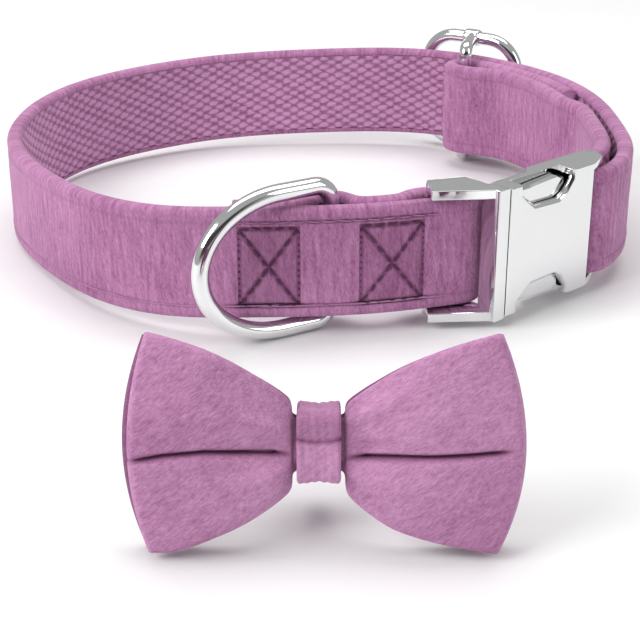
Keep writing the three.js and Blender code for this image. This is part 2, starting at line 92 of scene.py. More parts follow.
def cyclic(turn, column):
    angle = turn % 360
    count = len(loopShape)
    row = count - 1
    while row > 0 and loopShape[row][0] > angle:
        row -= 1

    def at(k):
        lap = floor((row + k) / count)
        entry = loopShape[(row + k) % count]
        return entry[0] + 360 * lap, entry[column]

    (t0, v0), (t1, v1), (t2, v2), (t3, v3) = at(-1), at(0), at(1), at(2)
    span = t2 - t1
    share = (angle - t1) / span
    slopeIn = (v2 - v0) / (t2 - t0) * span
    slopeOut = (v3 - v1) / (t3 - t1) * span
    bend = v2 - v1
    cubic = slopeIn + slopeOut - 2 * bend
    square = 3 * bend - 2 * slopeIn - slopeOut
    return v1 + share * (slopeIn + share * (square + share * cubic))


def loopPoint(turn, inset=0.0):
    def spot(angle):
        reach = strap["radius"] * cyclic(angle, 1)
        a = radians(angle)
        stand = strap["stand"] * cyclic(angle, 2)
        return Vector((reach * cos(a), reach * sin(a), stand + strap["height"] / 2))

    heading = spot(turn + 1) - spot(turn - 1)
    heading.z = 0
    heading.normalize()
    inward = Vector((0, 0, 1)).cross(heading)
    place = spot(turn) + inward * inset
    place.x += strap["centre"][0]
    place.y += strap["centre"][1]
    return place, heading, inward


def toDegrees(length):
    return degrees(length / strap["radius"])


def smoothstep(value, low, high):
    share = min(1.0, max(0.0, (value - low) / (high - low)))
    return share * share * (3 - 2 * share)


def ease(distance, near, far):
    return 1 - smoothstep(abs(distance), near, far)


def addLoft(bm, sections, closed=False, uv=None, paintedShades=None):
    sections = np.asarray(sections)
    n, m = sections.shape[:2]
    rows = n if closed else n - 1
    grid = bmesh.ops.create_grid(bm, x_segments=m, y_segments=rows, size=1)["verts"]
    for k, vert in enumerate(grid):
        row, column = divmod(k, m + 1)
        vert.co = sections[row % n, column % m]
    if uv is not None:
        uvLayer = bm.loops.layers.uv["UVMap"]
        spot = {vert: uv[k // (m + 1) % n, k % (m + 1) % m] for k, vert in enumerate(grid)}
        for face in bm.faces:
            for corner in face.loops:
                corner[uvLayer].uv = spot[corner.vert]
    if paintedShades is not None:   # how much painted shade the cloth gets in creases, folds and by the knot, 0 to 1
        shadeLayer = bm.verts.layers.float["fold"]
        for k, vert in enumerate(grid):
            vert[shadeLayer] = paintedShades[k // (m + 1) % n][k % (m + 1) % m]
    bmesh.ops.remove_doubles(bm, verts=grid, dist=mm * mm)
    if not closed:
        bmesh.ops.holes_fill(bm, edges=[e for e in bm.edges if e.is_boundary])


def loft(name, sections, closed=False, uv=None, paintedShades=None):
    bm = bmesh.new()
    bm.loops.layers.uv.new("UVMap")
    bm.verts.layers.float.new("fold")
    addLoft(bm, sections, closed, uv, paintedShades)
    bmesh.ops.recalc_face_normals(bm, faces=bm.faces)
    return finished(name, bm)


def finished(name, bm):
    mesh = bpy.data.meshes.new(name)
    bm.to_mesh(mesh)
    bm.free()
    mesh.shade_smooth()
    obj = bpy.data.objects.new(name, mesh)
    bpy.context.scene.collection.objects.link(obj)
    return obj


def tube(points, radius, sides=20, closed=False, flat=None):
    points = np.asarray(points, float)
    if closed:
        along = np.roll(points, -1, 0) - np.roll(points, 1, 0)
    else:
        along = np.gradient(points, axis=0)
    along /= np.linalg.norm(along, axis=1)[:, None]
    seed = np.array(flat if flat is not None else (0, 0, 1.0))
    across = np.cross(seed, along)
    across /= np.linalg.norm(across, axis=1)[:, None]
    other = np.cross(along, across)
    angle = np.linspace(0, 2 * pi, sides, endpoint=False)
    ring = np.cos(angle)[None, :, None] * across[:, None, :]
    ring = ring + np.sin(angle)[None, :, None] * other[:, None, :]
    radius = np.broadcast_to(np.asarray(radius, float), (len(points),))
    return points[:, None, :] + ring * radius[:, None, None]


def joined(name, objs):
    bpy.ops.object.select_all(action="DESELECT")
    for o in objs:
        o.select_set(True)
    bpy.context.view_layer.objects.active = objs[0]
    bpy.ops.object.join()
    objs[0].name = name
    objs[0].data.name = name
    return objs[0]


class Wire:
    def __init__(self, tree, socket):
        self.tree = tree
        self.socket = socket

    def maths(self, operation, *others, clamp=False):
        node = self.tree.nodes.new("ShaderNodeMath")
        node.operation = operation
        node.use_clamp = clamp
        for k, value in enumerate((self, *others)):
            if isinstance(value, Wire):
                self.tree.links.new(value.socket, node.inputs[k])
            else:
                node.inputs[k].default_value = value
        return Wire(self.tree, node.outputs[0])

    def flipped(self, operation, other):
        node = self.tree.nodes.new("ShaderNodeMath")
        node.operation = operation
        node.inputs[0].default_value = other
        self.tree.links.new(self.socket, node.inputs[1])
        return Wire(self.tree, node.outputs[0])

    def __add__(self, other):
        return self.maths("ADD", other)

    def __radd__(self, other):
        return self.maths("ADD", other)

    def __sub__(self, other):
        return self.maths("SUBTRACT", other)

    def __rsub__(self, other):
        return self.flipped("SUBTRACT", other)

    def __mul__(self, other):
        return self.maths("MULTIPLY", other)

    def __rmul__(self, other):
        return self.maths("MULTIPLY", other)

    def __truediv__(self, other):
        return self.maths("DIVIDE", other)

    def abs(self):
        return self.maths("ABSOLUTE")

    def fract(self):
        return self.maths("FRACT")

    def sine(self):
        return self.maths("SINE")

    def atMost(self, other):
        return self.maths("MINIMUM", other)

    def atLeast(self, other):
        return self.maths("MAXIMUM", other)

    def below(self, other):
        return self.maths("LESS_THAN", other)

    def held(self):
        return self.maths("ADD", 0.0, clamp=True)

    def fade(self, start, end):
        node = self.tree.nodes.new("ShaderNodeMapRange")
        node.interpolation_type = "SMOOTHSTEP"
        self.tree.links.new(self.socket, node.inputs["Value"])
        node.inputs["From Min"].default_value = start
        node.inputs["From Max"].default_value = end
        return Wire(self.tree, node.outputs["Result"])


class Nodes:
    def __init__(self, tree):
        self.tree = tree

    def node(self, kind, settings=None, **values):
        made = self.tree.nodes.new(kind)
        for key, value in (settings or {}).items():
            setattr(made, key, value)
        for key, value in values.items():
            self.put(made.inputs[key.replace("_", " ")], value)
        return made

    def put(self, socket, value):
        if isinstance(value, Wire):
            self.tree.links.new(value.socket, socket)
        elif isinstance(value, bpy.types.NodeSocket):
            self.tree.links.new(value, socket)
        else:
            socket.default_value = value

    def wire(self, socket):
        return Wire(self.tree, socket)

    def parts(self, vector):
        made = self.node("ShaderNodeSeparateXYZ", Vector=vector)
        return [self.wire(made.outputs[k]) for k in range(3)]


class Look(Nodes):
    def __init__(self, name):
        self.material = bpy.data.materials.new(name)
        self.material.use_nodes = True
        super().__init__(self.material.node_tree)
        self.shader = self.tree.nodes["Principled BSDF"]

    def coords(self, kind="Object", stretch=None, turn=(0, 0, 0)):
        out = self.node("ShaderNodeTexCoord").outputs[kind]
        if stretch is None:
            return out
        settings = {"vector_type": "TEXTURE"}
        made = self.node("ShaderNodeMapping", settings, Vector=out, Rotation=turn, Scale=stretch)
        return made.outputs["Vector"]

    def attribute(self, name):
        return self.wire(self.node("ShaderNodeAttribute", {"attribute_name": name}).outputs["Fac"])

    def noise(self, where, scale, detail=3.0, rough=0.55):
        made = self.node("ShaderNodeTexNoise", Vector=where, Scale=scale, Detail=detail, Roughness=rough)
        return self.wire(made.outputs["Fac"])

    def mix(self, factor, a, b):
        made = self.node("ShaderNodeMix", {"data_type": "RGBA"})
        self.put(made.inputs[0], factor)
        self.put(made.inputs[6], a)
        self.put(made.inputs[7], b)
        return made.outputs[2]

    def bump(self, height, strength, distance):
        made = self.node("ShaderNodeBump", Height=height, Strength=strength, Distance=distance)
        self.put(self.shader.inputs["Normal"], made.outputs["Normal"])

    def set(self, **values):
        for key, value in values.items():
            self.put(self.shader.inputs[key.replace("_", " ")], value)


def srgb(r, g, b):
    def channel(c):
        c /= 255
        return c / 12.92 if c <= 0.04045 else ((c + 0.055) / 1.055) ** 2.4
    return (channel(r), channel(g), channel(b), 1.0)


def velvetLook(name, colours, kind="Object", turn=(0, 0, 0), ribs=0.3, seams=None, foldShade=False):
    look = Look(name)
    shadow, dark, light = colours
    nap = look.coords(kind, (3.2, 1, 1), turn)   # the pile lies one way
    pile = look.noise(nap, 3400.0, 2.0, 0.6)
    tuft = look.noise(nap, 1100.0, 2.0, 0.55)
    rows = look.noise(look.coords(kind, (1, 9, 1)), 1000.0, 1.0, 0.4)
    brushed = look.noise(look.coords(kind, (1.5, 1, 1), turn), 170.0, 2.0, 0.45)
    drift = look.noise(look.coords(kind), 30.0, 1.0, 0.4)
    tone = (pile - 0.5) * 1.3 + (tuft - 0.5) * 0.9 + (rows - 0.5) * ribs + (brushed - 0.5) * 0.4
    tone = tone + (drift - 0.5) * 0.9 + 0.5
    height = pile * 0.7 + tuft * 0.8 + rows * ribs * 2 + brushed * 0.6
    depth = 0.0
    # painted shade from the seams and their stitched boxes, with dents for the bump
    if seams is not None:
        depth, dent = seams(look)
        height = height - dent * 4.0
    # painted shade: the fold attribute darkens creases, folds and the knot
    if foldShade:
        depth = look.attribute("fold")
    colour = look.mix(tone.held(), dark, light)
    # painted shade: the colour darkens towards the shadow tone where depth is high
    if seams is not None or foldShade:
        colour = look.mix((depth + (tuft - 0.5) * 0.3 * depth).held(), colour, shadow)
    look.set(Base_Color=colour, Roughness=0.9, Sheen_Weight=0.35, Sheen_Roughness=0.4,
             Sheen_Tint=(0.93, 0.74, 0.87, 1), Specular_IOR_Level=0.12)
    look.bump(height, 0.7, 0.0002)
    return look.material


def chromeLook(name, tone):
    look = Look(name)
    smear = look.noise(look.coords(), 60.0, 3.0)
    scratch = look.noise(look.coords("Object", (1, 1, 12)), 700.0, 2.0)
    dull = tuple(0.92 * c for c in tone[:3]) + (1,)
    rough = smear * 0.05 + scratch * 0.05 + 0.03
    look.set(Base_Color=look.mix(smear, dull, tone), Metallic=1.0, Roughness=rough)
    look.bump(smear * 0.5 + scratch * 0.5, 0.05, 0.00006)
    return look.material


# the strap's route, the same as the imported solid's but finer
maleSpread = hardware["maleBarThick"] / 2 + hardware["maleBarPlay"] + thick / 2
femaleSpread = hardware["femaleBar"] + strap["clearance"] + thick / 2
sliderSpread = hardware["sliderWire"] + strap["clearance"] + thick / 2
ringSpread = 2 * (hardware["ringWire"] + hardware["ringPocketGap"]) + thick
sliderInset = pitch + sliderSpread
foldReach = hardware["maleBarWidth"] / 2 - hardware["maleBarThick"] / 2 + strap["clearance"]
maleFoldTurn = turns["male"] + toDegrees(foldReach)


def frontInset(turn):
    fromRing = radians(turn - turns["ring"]) * strap["radius"]
    fromBar = radians(turn - turns["male"]) * strap["radius"]
    wire = hardware["ringWire"]
    pocket = (ringSpread - pitch) * ease(fromRing, wire, 3.8 * wire)
    width = hardware["maleBarWidth"]
    step = strap["frontStep"]
    inFrame = (2 * maleSpread - pitch) * ease(fromBar, width / 2 + step, width + step)
    return pitch + pocket + inFrame


def returnInset(turn):
    fromSlider = radians(turn - turns["sliderBar"]) * strap["radius"]
    fromFemale = radians(turn + 360 - turns["female"]) * strap["radius"]
    beforeTail = max(0.0, radians(turns["returnEnd"] - turn) * strap["radius"])
    close = pitch + strap["returnSlack"]
    atFemale = (2 * femaleSpread - close) * ease(fromFemale, 0, strap["radius"] / 3)
    overTail = (2 * pitch - close) * ease(beforeTail, strap["tailStep"] / 4, strap["tailStep"])
    atSlider = sliderInset + sliderSpread - 2 * pitch
    nearSlider = ease(fromSlider, hardware["sliderWire"], 4 * pitch)
    return close + max(atFemale, overTail) + atSlider * nearSlider


def run(start, end, inset, step):
    count = max(2, int(radians(abs(end - start)) * strap["radius"] / step))
    return [loopPoint(start + (end - start) * i / count, inset(start + (end - start) * i / count))[0]
            for i in range(count + 1)]


def fold(turn, inset, radius, ahead, side, steps=14):
    place, heading, inward = loopPoint(turn, inset)
    angles = [pi * i / steps for i in range(1, steps)]
    return [place + inward * (side * radius * cos(a)) + heading * (ahead * radius * sin(a)) for a in angles]


def strapRoute():
    step = strap["routeStep"]
    femaleStart = turns["female"] - 360
    pieces = [
        ("front", run(turns["tail"], maleFoldTurn, frontInset, step)),
        ("maleFold", fold(maleFoldTurn, maleSpread, maleSpread, 1, 1)),
        ("outer", run(maleFoldTurn, femaleStart, lambda t: 0.0, step)),
        ("femaleFold", fold(turns["female"], femaleSpread, femaleSpread, -1, -1)),
        ("return", run(femaleStart, turns["sliderBar"], returnInset, step)),
        ("sliderFold", fold(turns["sliderBar"], sliderInset, sliderSpread, 1, 1)),
        ("tail", run(turns["sliderBar"], turns["returnEnd"], lambda t: pitch, step)),
    ]
    points, marks = [], {}
    for name, spots in pieces:
        marks[name] = len(points)
        points += [tuple(p) for p in spots]
    return np.array(points), marks


def resampled(points, step):
    gaps = np.linalg.norm(np.diff(points[:, :2], axis=0), axis=1)
    length = np.concatenate([[0], np.cumsum(gaps)])
    count = int(length[-1] / step)
    places = np.linspace(0, length[-1], count + 1)
    out = np.stack([np.interp(places, length, points[:, k]) for k in range(3)], 1)
    for _ in range(3):
        out[1:-1] = 0.5 * out[1:-1] + 0.25 * (out[:-2] + out[2:])
    return out, places, length


routePoints, routeMarks = strapRoute()
routeFine, routeAt, routeLength = resampled(routePoints, strap["step"])
outerStart = routeLength[routeMarks["outer"]]
outerEnd = routeLength[routeMarks["femaleFold"] - 1]


def rightOf(points):
    along = np.gradient(points[:, :2], axis=0)
    along /= np.linalg.norm(along, axis=1)[:, None]
    return np.stack([along[:, 1], -along[:, 0], np.zeros(len(points))], 1)


def alongOuter(turn):
    share = (maleFoldTurn - turn) / (maleFoldTurn - (turns["female"] - 360))
    count = routeMarks["femaleFold"] - routeMarks["outer"] - 1
    return float(np.interp(routeMarks["outer"] + share * count, np.arange(len(routeLength)), routeLength))


def onStrap(s, side, height):   # s along the strap, side to its right, height from its middle, in mm
    def spot(at):
        return np.array([np.interp(at, routeAt, routeFine[:, k]) for k in range(3)])

    reach = 0.6   # how far ahead and back the heading is read
    place = spot(s)
    along = (spot(s + reach) - spot(s - reach))[:2]
    along /= np.linalg.norm(along)
    return place + np.array([along[1], -along[0], 0]) * side + np.array([0, 0, height])


# where the seams run, as lengths along the outer run and heights from the middle
seam = {
    "box1": (alongOuter(268.2), alongOuter(257.6)),
    "box2": (alongOuter(291.2), alongOuter(279.6)),
    "boxLow": -9.3,
    "boxHigh": 8.2,
    "edge": 9.4,
    "topEdge": 9.6,
    "stitch": 2.7,
    "grooveWidth": 0.55,
    "grooveDepth": 0.3,
    "farGroove": 0.35,      # the seams are faint away from the buckle
    "boxWidth": 0.6,
    "boxDepth": 0.38,
    "pocketSwell": 0.1,
    "pocketWidth": 5.0,
}


def velvetSections():
    half, edge, r = thick / 2, strap["height"] / 2, strap["edgeRound"]
    profile = [(half, strap["roll"] - edge)]
    for k in range(7):
        a = pi / 2 * k / 6
        profile.append((half - r + r * cos(a), r - edge - r * sin(a)))
    for k in range(9):
        a = pi / 2 * k / 8
        profile.append((r - half - r * sin(a), r - edge - r * cos(a)))
    face = np.linspace(r - edge, edge - r, strap["faceRows"])[1:-1]
    profile += [(-half, h) for h in face]
    for k in range(9):
        a = pi / 2 * k / 8
        profile.append((r - half - r * cos(a), edge - r + r * sin(a)))
    for k in range(7):
        a = pi / 2 * k / 6
        profile.append((half - r + r * sin(a), edge - r + r * cos(a)))
    lip, under = edge - strap["roll"], half - 0.9   # the cloth's back, hidden by the webbing
    profile += [(half, lip), (under, lip), (under, -lip)]
    profile = np.array(profile)
    right = rightOf(routeFine)
    n, m = len(routeFine), len(profile)
    d = np.broadcast_to(profile[None, :, 0], (n, m)).copy()
    h = np.broadcast_to(profile[None, :, 1], (n, m)).copy()
    s = np.broadcast_to(routeAt[:, None], (n, m))
    outer = (profile[:, 0] < -half + 0.6)[None, :]
    # sewn lines pull the pile in, and the cloth swells between them
    groove = np.zeros((n, m))
    for line in (-seam["edge"], seam["topEdge"]):
        groove += np.exp(-((h - line) / seam["grooveWidth"]) ** 2) * seam["grooveDepth"]
    pucker = 0.5 + 0.5 * np.sin(2 * pi * s / seam["stitch"])
    nearSeams = (s > min(seam["box2"]) - 5) & (s < max(seam["box1"]) + 3)
    groove *= (0.65 + 0.35 * pucker) * np.where(nearSeams, 1.0, seam["farGroove"])
    box = np.zeros((n, m))
    for start, end in (seam["box1"], seam["box2"]):
        low, high = min(start, end), max(start, end)
        inside = (s > low - 1) & (s < high + 1)
        inside = inside & (h > seam["boxLow"] - 1) & (h < seam["boxHigh"] + 1)
        u = (s - low) / (high - low)
        v = (h - seam["boxLow"]) / (seam["boxHigh"] - seam["boxLow"])
        wide, tall = high - low, seam["boxHigh"] - seam["boxLow"]
        across = wide * tall / hypot(wide, tall)
        sides = [np.abs(u) * wide, np.abs(u - 1) * wide, np.abs(v) * tall, np.abs(v - 1) * tall]
        gap = np.minimum.reduce([*sides, np.abs(u - v) * across, np.abs(u + v - 1) * across])
        box += np.where(inside, seam["boxDepth"] * np.exp(-(gap / seam["boxWidth"]) ** 2), 0)
    # the ring's pocket swells the face a little
    fromRing = (s - alongOuter(turns["ring"])) / seam["pocketWidth"]
    pocket = seam["pocketSwell"] * np.exp(-fromRing ** 2) * (1 - (h / 14) ** 2)
    sway = 0.12 * np.sin(s / 9.0 + h / 6.0) * np.sin(s / 23.0 + 1.0)
    sway += 0.06 * np.sin(s / 3.7) * np.sin(h / 2.6 + s / 31.0)
    isOuter = (s > outerStart - 6) & (s < outerEnd + 6)
    d += np.where(outer, (groove + box * isOuter) - pocket * isOuter + sway * 0.6 + 0.12, 0)
    h *= 1 - 0.0035 * (0.5 + 0.5 * np.sin(s / 12.0 + 0.6))
    points = routeFine[:, None, :] + right[:, None, :] * d[:, :, None]
    points[:, :, 2] += h
    uv = np.stack([s, h], -1) * mm
    return points * mm, uv


def strapSeamShadeAndDents(look):
    # painted shade along the seam grooves and across the stitched boxes, with their dents for the bump
    u, v = look.parts(look.coords("UV"))[:2]
    total = 0.0
    low, high = min(seam["box2"]) * mm, max(seam["box1"]) * mm
    near = u.fade(low - 4 * mm, low) * (1 - u.fade(high, high + 2 * mm))
    for height in (-seam["edge"], seam["topEdge"]):
        total = 1 - (v - height * mm).abs().fade(0.1 * mm, 0.65 * mm) + total
    dark = total * near
    shade = total * 0.12 + dark * 0.4
    dent = total * 0.1 + dark * 0.3
    for start, end in (seam["box1"], seam["box2"]):
        lowS, highS = min(start, end) * mm, max(start, end) * mm
        lowH, highH = seam["boxLow"] * mm, seam["boxHigh"] * mm
        wide, tall = highS - lowS, highH - lowH
        x = (u - lowS) / wide
        y = (v - lowH) / tall
        across = wide * tall / hypot(wide, tall)
        gap = (x.abs() * wide).atMost((x - 1.0).abs() * wide)
        gap = gap.atMost(y.abs() * tall).atMost((y - 1.0).abs() * tall)
        gap = gap.atMost((x - y).abs() * across).atMost((x + y - 1.0).abs() * across)
        inside = (x - 0.5).abs().below(0.53) * (y - 0.5).abs().below(0.53)
        line = (1 - gap.fade(0.1 * mm, 0.9 * mm)) * inside
        shade = shade + line * 0.4 + inside * 0.22
        dent = dent + line * 0.5
    return shade, dent


print("strap velvet")
velvetTones = {
    "strap": (srgb(92, 40, 78), srgb(140, 84, 125), srgb(198, 142, 183)),
    "bow": (srgb(100, 46, 86), srgb(152, 97, 137), srgb(206, 152, 191)),
    # painted shade: the bow's back layer gets darker copies of the bow's tones
    "bowBack": (srgb(80, 34, 67), srgb(104, 54, 91), srgb(150, 94, 135)),
}
sections, uv = velvetSections()
velvet = loft("velvet", sections, uv=uv)
pileTurn = (0, 0, radians(78))
strapVelvet = velvetLook("strapVelvet", velvetTones["strap"], "UV", pileTurn, ribs=0.8, seams=strapSeamShadeAndDents)
velvet.data.materials.append(strapVelvet)
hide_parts("velvet_strap")
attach(velvet, "collar")


weave = {
    "pitch": 4.4,
    "row": 2.5,
    "height": 0.6,
    "step": 0.42,
    "rows": 58,
    "edgeGap": 0.12,
    "back": 1.5,
}


def weaveWander(s, h, sine):   # the yarns never lie quite straight; s and h in millimetres
    return sine(s * 0.9 + h * 1.7) * 0.05 + sine(s * 2.3 - h * 2.9 + 1.0) * 0.04


def webbingSections():
    fine, at = resampled(routePoints, weave["step"])[:2]
    right = rightOf(fine)
    half = thick / 2
    edge = strap["height"] / 2 - strap["roll"] - weave["edgeGap"]
    h = np.linspace(-edge, edge, weave["rows"])
    s = at[:, None]
    wander = weaveWander(s, h[None, :], np.sin)
    a, b = s / weave["pitch"] + wander, h[None, :] / weave["row"] + wander * 0.6

    def lump(x, y):
        x, y = x - np.floor(x) - 0.5, y - np.floor(y) - 0.5
        return (np.cos(pi * x) * np.cos(pi * y)).clip(0) ** 0.6

    lift = np.maximum(lump(a, b), lump(a + 0.5, b + 0.5))
    lift = lift * (0.92 + 0.08 * np.sin(s * 3.1 + h[None, :] * 5.0))
    face = half + weave["height"] * (lift - 1)
    d = np.concatenate([face, np.full((len(at), 2), half - weave["back"])], 1)
    hh = np.concatenate([h, np.array([edge, -edge])])
    points = fine[:, None, :] + right[:, None, :] * d[:, :, None]
    points[:, :, 2] += hh[None, :]
    uv = np.stack(np.broadcast_arrays(s, hh[None, :]), -1) * mm
    return points * mm, uv


def webbingLook():
    look = Look("webbingWeave")
    u, v = look.parts(look.coords("UV"))[:2]
    fibre = look.noise(look.coords("UV", (4, 1, 1)), 3200.0, 2.0)
    drift = look.noise(look.coords("UV"), 120.0, 2.0)
    wander = weaveWander(u * 1000.0, v * 1000.0, Wire.sine)
    # the colour's rows sit a little above the raised bumps, so the painted highlight falls on each bump's
    # upper part
    a, b = u / (weave["pitch"] * mm) + wander, v / (weave["row"] * mm) + wander * 0.6 - 0.08

    def lump(x, y):
        return ((x.fract() - 0.5) * pi).maths("COSINE") * ((y.fract() - 0.5) * pi).maths("COSINE")

    lift = lump(a, b).atLeast(lump(a + 0.5, b + 0.5))
    ribs = (b * 6 * pi + 0.4).sine() * 0.5 + 0.5
    # painted highlight on the bumps and painted shade in the gaps between them, with random fibre and drift
    # tone
    tone = lift.fade(0.35, 0.95) * 0.75 + (fibre - 0.5) * 0.9 + (drift - 0.5) * 0.35 + 0.2
    look.set(Base_Color=look.mix(tone.held(), srgb(134, 82, 120), srgb(203, 150, 190)), Roughness=0.75,
             Sheen_Weight=0.2, Sheen_Roughness=0.4, Specular_IOR_Level=0.2)
    look.bump(fibre * 0.6 + ribs * lift * 0.5, 0.6, 0.00012)
    return look.material


print("webbing")
sections, uv = webbingSections()
webbing = loft("webbing", sections, uv=uv)
webbing.data.materials.append(webbingLook())
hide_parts("webbing_strap")
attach(webbing, "collar")


sewing = {
    "boxStitch": 2.0,
    "boxGap": 0.7,
    "boxSink": 0.32,
    "boxThread": 0.17,
    "edgeStitch": 2.2,
    "edgeGap": 0.9,
    "edgeSink": 0.3,
    "edgeThread": 0.15,
    "arch": 0.3,
    "sides": 6,
}


def stitchRow(ends, length, gap, side):
    (s0, h0), (s1, h1) = ends
    total = hypot(s1 - s0, h1 - h0)
    count = max(1, int(round(total / (length + gap))))
    made = []
    for i in range(count):
        t0 = (i + 0.12 + rng.uniform(-0.08, 0.08)) / count
        t1 = (i + 1 - gap / (length + gap)) / count + 0.02
        lean, shift = rng.uniform(-0.16, 0.16), rng.uniform(-0.12, 0.12)
        spots = []
        for k in range(5):
            t = t0 + (t1 - t0) * k / 4
            arch = sewing["arch"] * (1 - abs(k / 2 - 1) ** 2.5)
            wobble = lean * (k / 2 - 1) + shift
            spots.append(onStrap(s0 + (s1 - s0) * t, side + (-1 if side < 0 else 1) * (arch - 0.12),
                                 h0 + (h1 - h0) * t + wobble) * mm)
        made.append(np.array(spots))
    return made


def stitches(name, rows, radius, material):
    profile = np.array([0.55, 0.95, 1, 0.95, 0.55])
    bm = bmesh.new()
    for spots in rows:
        addLoft(bm, tube(spots, radius * mm * profile, sewing["sides"]))
    bmesh.ops.recalc_face_normals(bm, faces=bm.faces)
    obj = finished(name, bm)
    obj.data.materials.append(material)
    return obj


def threadLook(name, dark, light):
    look = Look(name)
    ply = look.noise(look.coords(), 2600.0, 2.0)
    look.set(Base_Color=look.mix(ply, dark, light), Roughness=0.55, Specular_IOR_Level=0.35)
    look.bump(ply, 0.5, 0.0001)
    return look.material


def boxRows():
    rows = []
    face = -thick / 2
    for start, end in (seam["box1"], seam["box2"]):
        low, high = min(start, end), max(start, end)
        a, b = (low, seam["boxLow"]), (high, seam["boxLow"])
        c, d = (high, seam["boxHigh"]), (low, seam["boxHigh"])
        for ends in ((a, b), (b, c), (c, d), (d, a), (a, c), (b, d)):
            rows += stitchRow(ends, sewing["boxStitch"], sewing["boxGap"], face + sewing["boxSink"])
    return rows


def edgeRows():
    rows = []
    face = -thick / 2
    near = (min(seam["box2"]) - 4, max(seam["box1"]) + 2)
    for height, ends in ((-seam["edge"], (outerStart + 3, outerEnd - 2)), (seam["topEdge"], near)):
        line = ((ends[0], height), (ends[1], height))
        rows += stitchRow(line, sewing["edgeStitch"], sewing["edgeGap"], face + sewing["edgeSink"])
    return rows


print("stitches")
darkThread = threadLook("darkThread", srgb(56, 22, 50), srgb(98, 50, 86))
paleThread = threadLook("paleThread", srgb(140, 86, 124), srgb(196, 144, 182))
boxThread = stitches("boxThread", boxRows(), sewing["boxThread"], darkThread)
edgeThread = stitches("edgeThread", edgeRows(), sewing["edgeThread"], paleThread)
for thread in (boxThread, edgeThread):
    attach(thread, "collar")


chrome = chromeLook("polishedChrome", (0.8, 0.805, 0.81, 1))
ringSize = {
    "wire": 1.95,
    "play": 1.0,
    "rise": 0.4,
    "reach": 31.0,
    "leg": 12.0,
    "corner": 4.0,
    "swing": 23.0,
}
sliderSize = {
    "wire": 1.8,
    "play": 1.2,
    "rise": 0.9,
    "width": 32.0,
    "corner": 9.0,
    "sleeve": 0.6,
    "sleeveLength": 4.8,
    "bend": 2.2,
}


def arc(x, y, rx, ry, start, end, count):
    angles = [start + (end - start) * i / count for i in range(count + 1)]
    return [(x + rx * cos(a), y + ry * sin(a)) for a in angles]


def roundedBox(half, rise, corner, count):
    x, y = half - corner, rise - corner
    centres = ((x, y), (-x, y), (-x, -y), (x, -y))
    outline = []
    for quarter, (across, up) in enumerate(centres):
        outline += arc(across, up, corner, corner, pi / 2 * quarter, pi / 2 * (quarter + 1), count)
    return outline


def evenly(outline, count):
    outline = np.array(outline + outline[:1])
    gaps = np.linalg.norm(np.diff(outline, axis=0), axis=1)
    length = np.concatenate([[0], np.cumsum(gaps)])
    at = np.linspace(0, length[-1], count, endpoint=False)
    return np.stack([np.interp(at, length, outline[:, k]) for k in range(2)], 1)


def placed(points, turn, inset, rise, swing):
    place, heading, inward = loopPoint(turn, inset)
    basis = np.array([heading, inward, (0, 0, 1)])
    a = radians(swing)
    turned = points @ np.array([(cos(a), sin(a), 0), (-sin(a), cos(a), 0), (0, 0, 1)])
    return (turned @ basis + np.array(place) + np.array([0, 0, rise])) * mm


def leashRing():
    size = ringSize
    rise = strap["height"] / 2 + size["play"] + size["wire"]
    c = size["corner"]
    outline = [(0, c - rise), (0, rise - c)] + arc(c, rise - c, c, c, pi, pi / 2, 10)
    outline += arc(size["leg"], 0, size["reach"] - size["leg"], rise, pi / 2, -pi / 2, 60)
    outline += arc(c, c - rise, c, c, -pi / 2, -pi, 10)
    spots = evenly(outline, 220)
    points = np.stack([-spots[:, 0], np.zeros(len(spots)), spots[:, 1]], 1)
    line = placed(points, turns["ring"], ringSpread / 2, size["rise"], size["swing"])
    normal = placed(np.array([[0, 1.0, 0], [0, 0, 0]]), turns["ring"], 0, 0, size["swing"])
    return loft("leashRing", tube(line, size["wire"] * mm, 28, True, normal[0] - normal[1]), closed=True)


